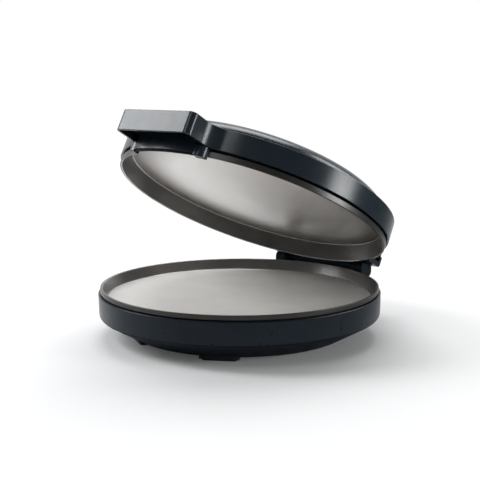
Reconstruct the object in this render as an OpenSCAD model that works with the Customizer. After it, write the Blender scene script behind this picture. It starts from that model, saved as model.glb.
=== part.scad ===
// Electric pizza maker: a round base and a round lid on a rear hinge, each with a heated plate.
// Millimetres, +Z up. -Y is the handle side, +Y is the hinge side, +X is right seen from the front.
// The origin is on the standing surface, under the middle of the whole outline with the lid open.
// Pieces are drawn about the centre of the round base; lid pieces are drawn closed and then turned
// about the hinge axis by lid_open.

/* [Base] */
// Outer radius of the base and of the lid skirt
body_r = 170; // [160:1:185]
// Height of the top edge of the base wall
base_top = 54; // [52:0.5:58]
// Height where the base wall turns in to the belly
wall_foot = 27; // [24:1:30]
// Height of the flat underside
underside = 5; // [4:0.5:6]
// Slope of the belly from level, in degrees
belly_angle = 29.5; // [28:0.5:31]
// Thickness of the moulded base wall
base_wall = 2.6; // [2.2:0.2:3.4]
// Width of the fixed underside round the removable bottom cover
cover_in = 24.5; // [23:0.5:30]
// Thickness of the bottom cover
cover_t = 2.2; // [1.8:0.2:2.4]

/* [Feet] */
// Distance of the middle of a foot inside the edge of the flat underside
foot_in = 6; // [5:0.5:9]
// Angle of each foot from the front or the rear, in degrees
foot_angle = 30; // [26:1:34]
// Width of a foot along the rim
foot_w = 45; // [36:1:50]
// Depth of a foot towards the centre
foot_d = 22; // [20:1:24]
// Thickness of the rubber pad that shows under a foot
pad_show = 1.4; // [1:0.2:2]

/* [Cooking plates] */
// Inset of the plate rims from the outside of the body
rim_in = 2.5; // [2:0.5:6]
// Width of the flat land on a rim
rim_land = 2.2; // [1.8:0.2:2.6]
// Run of the sloping side of a dish, from the rim to the floor
dish_run = 8; // [7:0.5:12]
// Thickness of a plate floor
floor_t = 3; // [2.6:0.2:3.4]
// Height of the lower plate rim above the base wall
rim_rise = 6.7; // [6.2:0.1:8]
// Depth of the lower plate
lower_depth = 13; // [11:0.5:14]
// Depth of the upper plate
upper_depth = 20.7; // [18:0.1:22]
// Gap between the two rims when the lid is shut
rim_gap = 0.5; // [0.4:0.1:1]
// Height of the outer lip of the lower plate
lower_lip = 5.2; // [4.6:0.2:5.4]
// Height of the outer lip of the upper plate
upper_lip = 6.6; // [5:0.2:7]

/* [Lid] */
// Angle to which the lid is open, in degrees
lid_open = 29; // [0:1:90]
// Gap from the rim of the upper plate to the bottom edge of the skirt
skirt_drop = 8.9; // [8:0.1:10]
// Height of the lid skirt
skirt_h = 24.9; // [24:0.1:30]
// Thickness of the moulded lid walls
lid_wall = 2.6; // [2.2:0.2:2.8]
// Inset of the dome from the outside of the body
dome_in = 12; // [10:1:18]
// Radial run of the dome shoulder
dome_run = 34; // [26:1:40]
// Height of the dome shoulder
dome_h = 20.5; // [18:0.5:26]
// Extra height of the dome at its centre
dome_crown = 2; // [1:0.5:4]
// Thickness of the dome
dome_t = 2.4; // [2:0.2:3]

/* [Handle] */
// Half of the handle width
handle_half = 54; // [50:1:58]
// Reach of the handle front beyond the body
handle_out = 29; // [26:1:36]
// Radius of the handle's front corners
handle_corner = 7; // [5:0.5:9]
// Radius of the hollow that blends the handle into the skirt
handle_blend = 15; // [10:1:18]
// Depth of the finger hollow under the handle
finger_hollow = 9; // [7:0.5:10]
// Gap from the skirt to the outer face of the finger guard
guard_out = 2; // [1.8:0.1:3]
// Drop of the finger guard below the skirt
guard_drop = 8.4; // [7.8:0.1:8.7]
// Drop of the rounded post at the right end of the guard
post_drop = 12.4; // [10:0.2:13]
// Radius of the rounded post at the right end of the guard
guard_post_r = 5; // [4:0.5:6]

/* [Hinge] */
// Distance of the hinge axis behind the body
hinge_out = 7; // [6.5:0.1:8]
// Height of the hinge axis above the lower plate rim
hinge_rise = 1.8; // [1.5:0.1:3]
// Radius of the lid's hinge barrel
barrel_r = 7.5; // [7:0.5:8]
// Outer radius of the hollow hinge pins
pin_r = 3.2; // [3:0.1:3.4]
// Bore radius of the hollow hinge pins
pin_bore_r = 1.9; // [1.7:0.1:2]
// Length of a hinge pin
pin_len = 20; // [16:1:24]
// Inner side of the base ears, from the middle
ear_in = 56; // [54:1:57]
// Width of a base ear
ear_w = 14.5; // [14:0.1:14.8]
// Height of the top of the base ears above the hinge axis
ear_over = 5.1; // [4.8:0.1:5.5]
// Distance of the back of the base ears behind the hinge axis
ear_behind = 6.4; // [6:0.1:7]
// Width of a cheek of the lid's hinge block
cheek_w = 9.8; // [9:0.2:13]
// Distance of the back of the hinge block behind the hinge axis
block_behind = 8; // [7.6:0.1:20]
// Thickness of a friction washer
washer_t = 1; // [0.6:0.1:1.2]

/* [Heating] */
// Inset of the ring of a heating element from the ring of plate posts
heater_in = 16; // [14:1:24]
// Radius of the tube of a heating element
tube_r = 3.25; // [2.8:0.05:3.6]
// Sweep of a heating element, in degrees
heater_sweep = 324; // [300:1:330]
// Inset of the lower heat reflector from the edge of the plate floor
reflector_in = 21.5; // [18:0.5:26]
// Thickness of the reflector sheet
sheet_t = 0.8; // [0.6:0.1:1]
// Inset of the ring of plate posts from the edge of the plate floor
post_in = 39.5; // [38:0.5:44]
// Radius of a plate post
post_r = 5.5; // [5:0.1:6]
// Thickness of the insulation in the lid
insulation_t = 7; // [5:1:9]

/* [Fits] */
// Clearance round a part that drops into a recess
seat_gap = 0.3; // [0.2:0.05:0.4]
// Radial clearance of a turning pin in its bore
run_gap = 0.05; // [0.03:0.01:0.08]
// Radial clearance of a screw in its hole
screw_gap = 0.1; // [0.05:0.05:0.2]
// Clearance between the turning and the fixed hinge parts, along the axis
side_gap = 0.2; // [0.15:0.05:0.3]
// Radius of the plate screws
screw_r = 2; // [1.8:0.1:2.2]
// Radius of the small screws
small_screw_r = 1.5; // [1.3:0.1:1.6]
// Radius of the supply cord's bore in its gland
cord_r = 3.6; // [3:0.1:4.2]

/* [Hidden] */

$fn = 128;
eps = 0.01;
over = 1;

casing_col = [0.11, 0.13, 0.15];
plate_col = [0.45, 0.43, 0.41];
rubber_col = [0.04, 0.04, 0.045];
steel_col = [0.72, 0.73, 0.75];
zinc_col = [0.55, 0.57, 0.6];
ceramic_col = [0.9, 0.88, 0.82];

wall_draft = 0.6;
belly_fillet = 5;
ledge_t = 2.5;
ledge_in = 4.4;
floor_plate_t = 2.5;
cover_lap = 8;

belly_tan = tan(belly_angle);
belly_foot_r = body_r - wall_draft - (wall_foot - underside) / belly_tan;
fillet_run = belly_fillet * tan((90 - belly_angle) / 2);
cover_r = belly_foot_r - cover_in;
foot_at = belly_foot_r - foot_in;

rim_r = body_r - rim_in;
floor_r = rim_r - dish_run;
post_at = floor_r - post_in;
heater_r = post_at - heater_in;
reflector_r = floor_r - reflector_in;

rim_z = base_top + rim_rise;
lower_floor_z = rim_z - lower_depth;
lower_back_z = lower_floor_z - floor_t;
lid_rim_z = rim_z + rim_gap;
upper_floor_z = lid_rim_z + upper_depth;
upper_back_z = upper_floor_z + floor_t;
skirt_z = lid_rim_z + skirt_drop;
lid_top = skirt_z + skirt_h;
cover_z = skirt_z + finger_hollow;
dome_r = body_r - dome_in;
handle_reach = body_r + handle_out;

hinge_y = body_r + hinge_out;
hinge_z = rim_z + hinge_rise;
ear_top = hinge_z + ear_over;
ear_back = hinge_y + ear_behind;
cheek_gap = 0.7;
block_half = ear_in + ear_w + cheek_gap + cheek_w;
block_reach = hinge_y + block_behind;

// Distance of the middle of the outline behind the centre of the round base.
outline_back = hinge_y + (block_reach - hinge_y) * cos(lid_open) + (lid_top - hinge_z) * sin(lid_open);
middle_y = (outline_back - body_r) / 2;

// Moves a piece drawn about the centre of the round base to its place.
module on_base() {
    translate([0, -middle_y, 0])
        children();
}

// Moves a closed lid piece to the open lid.
module on_lid() {
    translate([0, hinge_y - middle_y, hinge_z])
        rotate([-lid_open, 0, 0])
            translate([0, -hinge_y, -hinge_z])
                children();
}

// Points of an arc.
function arc(c, r, a0, a1, n) =
    [for (i = [0:n]) let (a = a0 + (a1 - a0) * i / n) c + r * [cos(a), sin(a)]];

// Mirrors a list of points to negative X, last first.
function mirrored(p) = [for (i = [len(p) - 1:-1:0]) [-p[i][0], p[i][1]]];

// Copies at every given angle round the Z axis.
module at_angles(angles, r) {
    for (a = angles)
        rotate(a)
            translate([r, 0, 0])
                children();
}

// Plan outline of a block that grows out of a round skirt towards -Y, drawn inset by d.
module block_outline(half, reach, corner, blend, d) {
    h = half - d;
    f = blend + d;
    c = corner - d;
    y = reach - d;
    yc = sqrt(pow(body_r - d + f, 2) - pow(h + f, 2));
    toward = atan2(yc, -(h + f));
    right = concat(arc([h + f, -yc], f, toward, 180, 10), arc([h - c, c - y], c, 0, -90, 8));
    polygon(concat(right, mirrored(right)));
}

module handle_outline(d) {
    block_outline(handle_half, handle_reach, handle_corner, handle_blend, d);
}

block_corner = 6;
block_blend = 9;
module hinge_block_outline(d) {
    mirror([0, 1])
        block_outline(block_half, block_reach, block_corner, block_blend, d);
}

// ---------- base ----------

// Outer line of the base from the flat underside to the top edge, grown by g.
function base_line(g) = concat(
    [[belly_foot_r + g, underside - g]],
    arc([body_r - wall_draft - belly_fillet, wall_foot + fillet_run], belly_fillet + g,
        belly_angle - 90, 0, 6),
    [[body_r + g, base_top]]);

// Solid envelope of the base, grown by g.
module base_envelope(g) {
    rotate_extrude()
        polygon(concat([[0, base_top], [0, underside - g]], base_line(g)));
}

// Ear that carries a hinge pin, seen along X and drawn inset by d.
ear_front = hinge_y - 17;
ear_front_round = 6.5;
ear_top_round = 6;
ear_low_round = 7;
ear_low = hinge_z - 12.5;
ear_root = [hinge_y - 27, hinge_z - 20.5];
module ear_profile(d) {
    polygon(concat(
        [ear_root + [0, d]],
        [[ear_root[0], ear_top - ear_front_round], [ear_front + d, ear_top - ear_front_round]],
        arc([ear_front + ear_front_round, ear_top - ear_front_round], ear_front_round - d, 180, 90, 8),
        arc([ear_back - ear_top_round, ear_top - ear_top_round], ear_top_round - d, 90, 0, 8),
        arc([ear_back - ear_low_round, ear_low + ear_low_round], ear_low_round - d, 0, -74, 8)));
}

// Extrudes a YZ profile along X from x0 to x1.
module along_x(x0, x1) {
    translate([x0, 0, 0])
        rotate([90, 0, 90])
            linear_extrude(x1 - x0)
                children();
}

ear_skin = 2.8;
boss_r = 6.5;
plate_stand = 14.7;
boss_top = lower_back_z - plate_stand;
boss_angles = [0, 90, 180, 270];
screw_head_r = screw_r * 1.95;
head_pocket = 4.4;
gland_z = base_top - 13.5;
gland_r = 9;
gland_flange = 2.4;
cover_screw_at = cover_r - cover_lap / 2;
cover_screw_angles = [45, 135, 225, 315];
cover_boss_h = 9;
cover_screw_l = 7;
cover_boss_r = 3.9;
peg_r = 4;

module base_casing() {
    color(casing_col)
    on_base()
    difference() {
        union() {
            rotate_extrude()
                polygon(concat(
                    [[cover_r + seat_gap, underside]],
                    base_line(0),
                    [[body_r - ledge_in, base_top],
                     [body_r - ledge_in, base_top - ledge_t],
                     [body_r - base_wall, base_top - ledge_t],
                     [body_r - base_wall - wall_draft, wall_foot + fillet_run * 0.6],
                     [belly_foot_r - 1, underside + floor_plate_t],
                     [cover_r + 6, underside + floor_plate_t],
                     [cover_r + 6, underside + cover_t + floor_plate_t],
                     [cover_r - cover_lap, underside + cover_t + floor_plate_t],
                     [cover_r - cover_lap, underside + cover_t],
                     [cover_r + seat_gap, underside + cover_t]]));
            at_angles(boss_angles, post_at)
                translate([0, 0, underside + eps])
                    cylinder(r = boss_r, h = boss_top - underside - eps);
            at_angles(cover_screw_angles, cover_screw_at)
                translate([0, 0, underside + cover_t + eps])
                    cylinder(r = cover_boss_r, h = cover_boss_h);
            difference() {
                for (s = [-1, 1])
                    along_x(s * (ear_in + ear_w / 2) - ear_w / 2, s * (ear_in + ear_w / 2) + ear_w / 2)
                        ear_profile(0);
                translate([0, 0, underside])
                    cylinder(r = body_r - base_wall / 2, h = base_top + hinge_z);
                translate([-body_r, 0, base_top])
                    cube([2 * body_r, ear_front, hinge_z]);
            }
        }
        at_angles(boss_angles, post_at) {
            translate([0, 0, underside - over])
                cylinder(r = screw_r + 2 * screw_gap, h = boss_top, $fn = 48);
            translate([0, 0, underside - over])
                cylinder(r = screw_head_r + 2 * seat_gap, h = head_pocket + over, $fn = 48);
        }
        at_angles(cover_screw_angles, cover_screw_at)
            translate([0, 0, underside])
                cylinder(r = small_screw_r + screw_gap, h = cover_boss_h, $fn = 32);
        for (a = foot_angles)
            rotate(a)
                translate([peg_at, 0, 0])
                    cylinder(r = peg_r + seat_gap, h = 3 * underside, $fn = 48);
        // bores for the hinge pins and the hollow behind each for the cable
        for (s = [-1, 1]) {
            x_in = s > 0 ? ear_in - over : -ear_in - pin_hold;
            along_x(x_in, x_in + pin_hold + over)
                translate([hinge_y, hinge_z])
                    circle(r = pin_r + run_gap, $fn = 64);
            x_hollow = s > 0 ? ear_in + pin_hold - eps : -ear_in - ear_w + ear_skin;
            along_x(x_hollow, x_hollow + ear_w - ear_skin - pin_hold + eps)
                ear_profile(ear_skin);
        }
        translate([0, body_r, gland_z])
            rotate([90, 0, 0])
                cylinder(r = gland_r + seat_gap, h = 30, center = true, $fn = 64);
    }
}

pin_hold = 7;

vent_l = 36;
vent_w = 3;
vent_pitch = 9;
module bottom_cover() {
    color(casing_col)
    on_base()
    difference() {
        translate([0, 0, underside])
            cylinder(r = cover_r, h = cover_t);
        at_angles(cover_screw_angles, cover_screw_at) {
            translate([0, 0, underside - over])
                cylinder(r = small_screw_r + screw_gap, h = cover_t + 2 * over, $fn = 32);
            translate([0, 0, underside - over])
                cylinder(r = small_head_r + seat_gap, h = small_head_h + over, $fn = 32);
        }
        for (side = [-1, 1], i = [-3:3])
            translate([side * 48 - vent_l / 2, i * vent_pitch - vent_w / 2, underside - over])
                cube([vent_l, vent_w, cover_t + 2 * over]);
    }
}

foot_angles = [foot_angle - 90, -foot_angle - 90, 90 - foot_angle, 90 + foot_angle];
foot_top = 13;
foot_out = foot_at + foot_d / 2;
foot_round = 8;
peg_at = foot_at - 4;
pad_in = 2;
pad_size = [foot_d - 11, foot_w - 6];

// Rounded block lying on the ring of feet, size w along the radius.
module foot_plan(w, r) {
    x = w[0] / 2 - r;
    y = w[1] / 2 - r;
    polygon(concat(
        arc([x, y], r, 0, 90, 8),
        arc([-x, y], r, 90, 180, 8),
        arc([-x, -y], r, 180, 270, 8),
        arc([x, -y], r, 270, 360, 8)));
}

// Recess or pad on the underside of a foot, grown by g.
module pad_shape(g) {
    translate([foot_at - 1, 0, 0])
        linear_extrude(pad_show + pad_in)
            foot_plan(pad_size + [2 * g, 2 * g], foot_round / 2 + g);
}

module foot(a) {
    color(rubber_col)
    on_base() {
        difference() {
            intersection() {
                rotate(a)
                    translate([foot_at, 0, pad_show])
                        linear_extrude(foot_top - pad_show)
                            foot_plan([foot_d, foot_w], foot_round);
                rotate_extrude()
                    polygon([
                        [foot_at - foot_d, pad_show], [foot_out - 5, pad_show], [foot_out - 1.2, 6],
                        [foot_out, 8.5], [foot_out, foot_top], [foot_at - foot_d, foot_top]]);
            }
            rotate(a)
                pad_shape(seat_gap / 2);
            base_envelope(0.05);
        }
        rotate(a)
            translate([peg_at, 0, underside - 1])
                cylinder(r = peg_r, h = 5, $fn = 48);
    }
}

module foot_front_left() { foot(foot_angles[1]); }
module foot_front_right() { foot(foot_angles[0]); }
module foot_rear_left() { foot(foot_angles[3]); }
module foot_rear_right() { foot(foot_angles[2]); }

module foot_pads() {
    color([0.02, 0.02, 0.02])
    on_base()
    for (a = foot_angles)
        rotate(a)
            pad_shape(0);
}

// ---------- cooking plates ----------

// Section of a plate with its rim at height 0 and its dish below, lip at the outside.
function plate_section(depth, lip) = [
    [0, -depth],
    [floor_r - 2, -depth],
    [floor_r - 0.6, -depth + 0.5],
    [floor_r, -depth + 1.8],
    [rim_r - rim_land - 0.5, -0.6],
    [rim_r - rim_land, 0],
    [rim_r - 0.4, 0],
    [rim_r, -0.4],
    [rim_r, -lip],
    [rim_r - rim_land - 0.5, -lip],
    [floor_r + 2.6, -depth + 1],
    [floor_r + 0.8, -depth - floor_t],
    [0, -depth - floor_t]];

thermostat_at = 46;
thermostat_r = 12;
thermostat_h = 7;
tag_l = 4;
plate_gap = 0.2;

module lower_plate() {
    color(plate_col)
    on_base()
    difference() {
        union() {
            translate([0, 0, rim_z])
                rotate_extrude()
                    polygon(plate_section(lower_depth, lower_lip));
            at_angles(boss_angles, post_at)
                translate([0, 0, boss_top + sheet_t])
                    cylinder(r = post_r, h = lower_back_z - boss_top - sheet_t + over);
        }
        at_angles(boss_angles, post_at)
            translate([0, 0, boss_top])
                cylinder(r = screw_r + screw_gap / 2, h = lower_back_z - boss_top, $fn = 48);
    }
}

half_gap = (360 - heater_sweep) / 2;
// Heating element lying under z = 0, its cold ends hanging down by drop.
module heater_ring(drop) {
    rotate(90 + half_gap)
        rotate_extrude(angle = heater_sweep)
            translate([heater_r, -tube_r])
                circle(r = tube_r, $fn = 32);
    for (s = [-1, 1])
        rotate(90 + s * half_gap)
            translate([heater_r, 0, -drop])
                cylinder(r = tube_r + 0.4, h = drop - tube_r / 2, $fn = 32);
    for (s = [-1, 1])
        rotate(90 + s * half_gap)
            translate([heater_r, 0, -drop - terminal_l])
                cylinder(r = tube_r / 2, h = terminal_l + eps, $fn = 24);
}

heater_drop = 17;
terminal_l = 5;
module lower_heater() {
    color(zinc_col)
    on_base()
        translate([0, 0, lower_back_z - plate_gap])
            heater_ring(heater_drop);
}

clip_angles = [45, 135, 225, 315];
clip_w = 10;
clip_leg = 3;
clip_t = 1.2;
clip_gap = 0.3;

// Strap that holds the heating element against a plate at z = 0.
module heater_clip() {
    low = plate_gap + 2 * tube_r + clip_gap;
    reach = tube_r + clip_gap;
    translate([0, clip_w / 2, 0])
        rotate([90, 0, 0])
            linear_extrude(clip_w)
                difference() {
                    translate([-reach - clip_leg, -low - clip_t])
                        square([2 * (reach + clip_leg), low + clip_t]);
                    translate([-reach, -low])
                        square([2 * reach, low + over]);
                }
}

module lower_heater_clips() {
    color(steel_col)
    on_base()
        at_angles(clip_angles, heater_r)
            translate([0, 0, lower_back_z])
                heater_clip();
}

reflector_lip = 9;
terminal_hole_r = 6;
// Dished sheet with an upturned edge, its flat face up from z = 0.
module reflector_pan(r, lip) {
    rotate_extrude()
        polygon([[0, 0], [r, 0], [r, lip], [r - sheet_t, lip], [r - sheet_t, sheet_t], [0, sheet_t]]);
}

module sheet_holes() {
    translate([thermostat_at, 0, -over])
        cylinder(r = thermostat_r + 5, h = insulation_t + 2 * over, $fn = 64);
    for (s = [-1, 1])
        rotate(90 + s * half_gap)
            translate([heater_r, 0, -over])
                cylinder(r = terminal_hole_r, h = insulation_t + 2 * over, $fn = 32);
}

module lower_reflector() {
    color(steel_col)
    on_base()
        translate([0, 0, boss_top])
            difference() {
                reflector_pan(reflector_r, reflector_lip);
                sheet_holes();
                at_angles(boss_angles, post_at)
                    translate([0, 0, -over])
                        cylinder(r = screw_r + screw_gap, h = sheet_t + 2 * over, $fn = 48);
            }
}

// Disc thermostat under z = 0, with two tags.
module thermostat() {
    translate([0, 0, -thermostat_h])
        cylinder(r = thermostat_r, h = thermostat_h, $fn = 64);
    for (s = [-1, 1])
        translate([-3, s * (thermostat_r - 4) - 0.4, -thermostat_h - tag_l])
            cube([6, 0.8, tag_l + eps]);
}

bracket_reach = 19;
// Strap across the thermostat, with a foot on the plate at each end.
module thermostat_bracket() {
    low = plate_gap + thermostat_h;
    translate([0, 3.5, 0])
        rotate([90, 0, 0])
            linear_extrude(7)
                polygon([
                    [-bracket_reach, 0], [-bracket_reach, -1.2],
                    [-thermostat_r - 1.6, -1.2], [-thermostat_r - 1.6, -low - 1.4],
                    [thermostat_r + 1.6, -low - 1.4], [thermostat_r + 1.6, -1.2],
                    [bracket_reach, -1.2], [bracket_reach, 0],
                    [thermostat_r + 0.4, 0], [thermostat_r + 0.4, -low - 0.2],
                    [-thermostat_r - 0.4, -low - 0.2], [-thermostat_r - 0.4, 0]]);
}

module lower_thermostat() {
    color(ceramic_col)
    on_base()
        translate([thermostat_at, 0, lower_back_z - plate_gap])
            thermostat();
}

module lower_thermostat_bracket() {
    color(steel_col)
    on_base()
        translate([thermostat_at, 0, lower_back_z])
            thermostat_bracket();
}

fuse_r = 3.6;
fuse_l = 24;
fuse_at = [30, cover_r - 44];
fuse_z = boss_top - fuse_r - plate_gap;
module thermal_fuse() {
    color([0.85, 0.84, 0.8])
    on_base()
        translate([fuse_at[0] - fuse_l / 2, fuse_at[1], fuse_z])
            rotate([0, 90, 0])
                cylinder(r = fuse_r, h = fuse_l, $fn = 40);
}

block_size = [46, 18, 13];
block_y = cover_r - 36;
block_pitch = 15;
block_wire_z = underside + cover_t + 4.5;
module terminal_block() {
    color(ceramic_col)
    on_base()
        translate([-block_size[0] / 2, block_y - block_size[1] / 2, underside + cover_t])
            difference() {
                cube(block_size);
                for (i = [-1:1]) {
                    translate([block_size[0] / 2 + block_pitch * i, block_size[1] / 2, 4])
                        cylinder(r = 2.4, h = block_size[2], $fn = 32);
                    translate([block_size[0] / 2 + block_pitch * i, -over, 4.5])
                        rotate([-90, 0, 0])
                            cylinder(r = 2, h = block_size[1] + 2 * over, $fn = 24);
                }
            }
}

// ---------- wires ----------

function unit(v) = v / norm(v);
function mid_point(p, i, t) =
    let (a = p[max(i - 1, 0)], b = p[i], c = p[i + 1], d = p[min(i + 2, len(p) - 1)])
    0.5 * (2 * b + (c - a) * t + (2 * a - 5 * b + 4 * c - d) * t * t
        + (3 * b - a - 3 * c + d) * t * t * t);
// Smooth points through a few chosen ones.
function smooth(p, k) = concat(
    [for (i = [0:len(p) - 2], j = [0:k - 1]) mid_point(p, i, j / k)],
    [p[len(p) - 1]]);

wire_side = 8;
wire_ref = unit([0.31, 0.17, 0.93]);
// Round wire of radius r along the points p.
module wire(p, r) {
    q = smooth(p, 5);
    n = len(q);
    ring = [for (i = [0:n - 1])
        let (t = unit(q[min(i + 1, n - 1)] - q[max(i - 1, 0)]),
            u = unit(cross(t, wire_ref)), v = cross(t, u))
        for (k = [0:wire_side - 1]) q[i] + r * (u * cos(360 * k / wire_side) + v * sin(360 * k / wire_side))];
    sides = [for (i = [0:n - 2], k = [0:wire_side - 1])
        let (a = i * wire_side + k, b = i * wire_side + (k + 1) % wire_side)
        [a, b, b + wire_side, a + wire_side]];
    first = [for (k = [wire_side - 1:-1:0]) k];
    last = [for (k = [0:wire_side - 1]) (n - 1) * wire_side + k];
    polyhedron(ring, concat(sides, [first], [last]), convexity = 6);
}

wire_r = 1.3;
cable_r = 1.4;
wire_end = 0.5;
chamber_x = ear_in + pin_hold + (ear_w - pin_hold - ear_skin) / 2;
pin_mouth_x = ear_in + pin_hold + 0.6;
lead = [heater_r * sin(half_gap), heater_r * cos(half_gap)];
tag_y = thermostat_r - 4;
base_lead_z = lower_back_z - plate_gap - heater_drop - terminal_l - wire_end;
base_tag_z = lower_back_z - plate_gap - thermostat_h - tag_l - wire_end;
block_back = block_y + block_size[1] / 2 + wire_end;
block_front = block_y - block_size[1] / 2 - wire_end;
fuse_ends = [fuse_at[0] - fuse_l / 2 - wire_end, fuse_at[0] + fuse_l / 2 + wire_end];
module base_wiring() {
    on_base() {
        for (s = [-1, 1])
            color(s < 0 ? [0.75, 0.1, 0.08] : [0.1, 0.25, 0.7])
                wire([[s * block_pitch, block_back, block_wire_z], [s * block_pitch * 1.6, block_back + 12, 14],
                    [s * lead[0], lead[1] - 3, 16], [s * lead[0], lead[1], 18.5],
                    [s * lead[0], lead[1], base_lead_z]], wire_r);
        color([0.75, 0.1, 0.08])
            wire([[block_pitch, block_front, block_wire_z], [block_pitch, block_front - 4, block_wire_z + 0.4],
                [12, fuse_at[1] - 10, 16], [8, fuse_at[1] - 7, 24], [fuse_ends[0] - 4, fuse_at[1], fuse_z],
                [fuse_ends[0], fuse_at[1], fuse_z]], wire_r);
        color([0.9, 0.9, 0.88])
            wire([[fuse_ends[1], fuse_at[1], fuse_z], [fuse_ends[1] + 4, fuse_at[1], fuse_z],
                [54, 50, 23], [54, 28, 21], [thermostat_at, tag_y + 3, 23],
                [thermostat_at, tag_y, 27], [thermostat_at, tag_y, base_tag_z]], wire_r);
        color([0.05, 0.05, 0.05])
            wire([[-block_pitch, block_front, block_wire_z], [-40, 48, 15], [-78, 70, 18], [-86, 108, 23],
                [-77, hinge_y - 44, 34], [-71, hinge_y - 35, 39.5], [-66, hinge_y - 25, 45.6],
                [-chamber_x, hinge_y - 19.5, 50.2], [-chamber_x, hinge_y - 9, 54.5],
                [-chamber_x, hinge_y - 2, hinge_z - 3.5], [0.5 - chamber_x, hinge_y, hinge_z - 1],
                [-pin_mouth_x, hinge_y, hinge_z]], cable_r);
    }
}

module cord_gland() {
    color(rubber_col)
    on_base()
    difference() {
        translate([0, body_r, gland_z])
            rotate([-90, 0, 0])
                union() {
                    translate([0, 0, -6])
                        cylinder(r = gland_r, h = 8, $fn = 64);
                    translate([0, 0, 0.3])
                        cylinder(r = gland_r + 2, h = gland_flange, $fn = 64);
                    translate([0, 0, 0.3 + gland_flange - eps])
                        cylinder(r = gland_r - 2.4, h = 3, $fn = 64);
                    translate([0, 0, -6.2])
                        cylinder(r = gland_r + 1, h = 2.2, $fn = 64);
                }
        translate([0, body_r, gland_z])
            rotate([90, 0, 0])
                cylinder(r = cord_r, h = 40, center = true, $fn = 48);
    }
}

// ---------- screws ----------

small_head_r = 2.8;
small_head_h = 1.4;

// Pan head screw, head below z = 0 and shank above.
module screw(r, head_r, head_h, len) {
    difference() {
        union() {
            translate([0, 0, -head_h])
                cylinder(r = head_r, h = head_h, $fn = 40);
            cylinder(r = r, h = len, $fn = 32);
        }
        for (a = [0, 90])
            rotate(a)
                translate([-head_r * 0.55, -head_r * 0.12, -head_h - over])
                    cube([head_r * 1.1, head_r * 0.24, over + head_h * 0.5]);
    }
}

module cover_screws() {
    color(steel_col)
    on_base()
        at_angles(cover_screw_angles, cover_screw_at)
            translate([0, 0, underside + small_head_h])
                screw(small_screw_r, small_head_r, small_head_h - 0.1, cover_screw_l);
}

plate_head_h = 3;
module lower_plate_screws() {
    color(steel_col)
    on_base()
        at_angles(boss_angles, post_at)
            translate([0, 0, underside + head_pocket])
                screw(screw_r, screw_head_r, plate_head_h, lower_back_z - underside - head_pocket - 1.5);
}

// ---------- hinge ----------

module hinge_pin(s) {
    color(steel_col)
    on_base() {
        x = s > 0 ? ear_in + pin_hold - pin_len - seat_gap : -ear_in - pin_hold + seat_gap;
        along_x(x, x + pin_len)
            translate([hinge_y, hinge_z])
                difference() {
                    circle(r = pin_r, $fn = 64);
                    circle(r = pin_bore_r, $fn = 48);
                }
    }
}

module hinge_pin_left() { hinge_pin(-1); }
module hinge_pin_right() { hinge_pin(1); }

barrel_half = ear_in - washer_t - 2 * side_gap;
module hinge_washers() {
    color(steel_col)
    on_base()
    for (s = [-1, 1]) {
        x = s > 0 ? ear_in - side_gap - washer_t : -ear_in + side_gap;
        along_x(x, x + washer_t)
            translate([hinge_y, hinge_z])
                difference() {
                    circle(r = barrel_r - 1.5, $fn = 64);
                    circle(r = pin_r + 2 * run_gap, $fn = 64);
                }
    }
}

barrel_plate_t = 3.6;
hinge_screw_pitch = 28;
hinge_screw_x = [for (i = [-1.5:1:1.5]) i * hinge_screw_pitch];
hinge_screw_z = lid_top - 12.9;
barrel_plate_top = hinge_screw_z + 3.9;
back_wall_in = block_reach - lid_wall;
duct_x = -25;
mouth_w = 13;

module hinge_barrel() {
    color(casing_col)
    on_lid()
        difference() {
            along_x(-barrel_half, barrel_half) {
                translate([hinge_y, hinge_z])
                    circle(r = barrel_r, $fn = 96);
                translate([back_wall_in - seat_gap - barrel_plate_t, hinge_z])
                    square([barrel_plate_t, barrel_plate_top - hinge_z]);
            }
            along_x(-barrel_half - over, barrel_half + over)
                translate([hinge_y, hinge_z])
                    circle(r = pin_r + run_gap, $fn = 64);
            // mouth through which the cable leaves the barrel
            translate([duct_x - mouth_w / 2, hinge_y - 4, hinge_z])
                cube([mouth_w, 4, barrel_r + over]);
            for (x = hinge_screw_x)
                translate([x, block_reach, hinge_screw_z])
                    rotate([90, 0, 0])
                        cylinder(r = small_screw_r + screw_gap / 2, h = 12, $fn = 32);
        }
}

module hinge_screws() {
    color(steel_col)
    on_lid()
        for (x = hinge_screw_x)
            translate([x, block_reach - small_head_h, hinge_screw_z])
                rotate([90, 0, 0])
                    screw(small_screw_r, small_head_r, small_head_h - 0.1, 4.4);
}

// ---------- lid ----------

dome_foot_r = dome_r + 0.7;
shelf_z = lid_top - 2.6;
shelf_low = shelf_z - 2.4;
shelf_in = dome_r - 3.7;
lug_angles = [45, 135, 225, 315];
lug_at = shelf_in - screw_head_r - 0.4;
lug_w = 14;
lug_t = 3;
lug_z = shelf_low - lug_t;
arm_round = 4;
arm_low = hinge_z + 3.5;
arm_front = hinge_y - 19;
block_low = hinge_z + 9.5;
lens_x = 12;
lens_y = 13 - handle_reach;
lens_l = 11;
lens_w = 5;
handle_boss_r = 4;
handle_screw_grip = 8;
outer_screw_in = [12, 12];
inner_screw_in = [30, 18];
outer_screw = [handle_half, handle_reach] - outer_screw_in;
inner_screw = [handle_half, handle_reach] - inner_screw_in;
handle_screw_at = [[-outer_screw[0], -outer_screw[1]], [outer_screw[0], -outer_screw[1]],
    [-inner_screw[0], -inner_screw[1]], [inner_screw[0], -inner_screw[1]]];

// Rounded slot, long along X.
module slot(l, w) {
    square([l - w, w], center = true);
    for (s = [-1, 1])
        translate([s * (l - w) / 2, 0])
            circle(d = w, $fn = 32);
}

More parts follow.
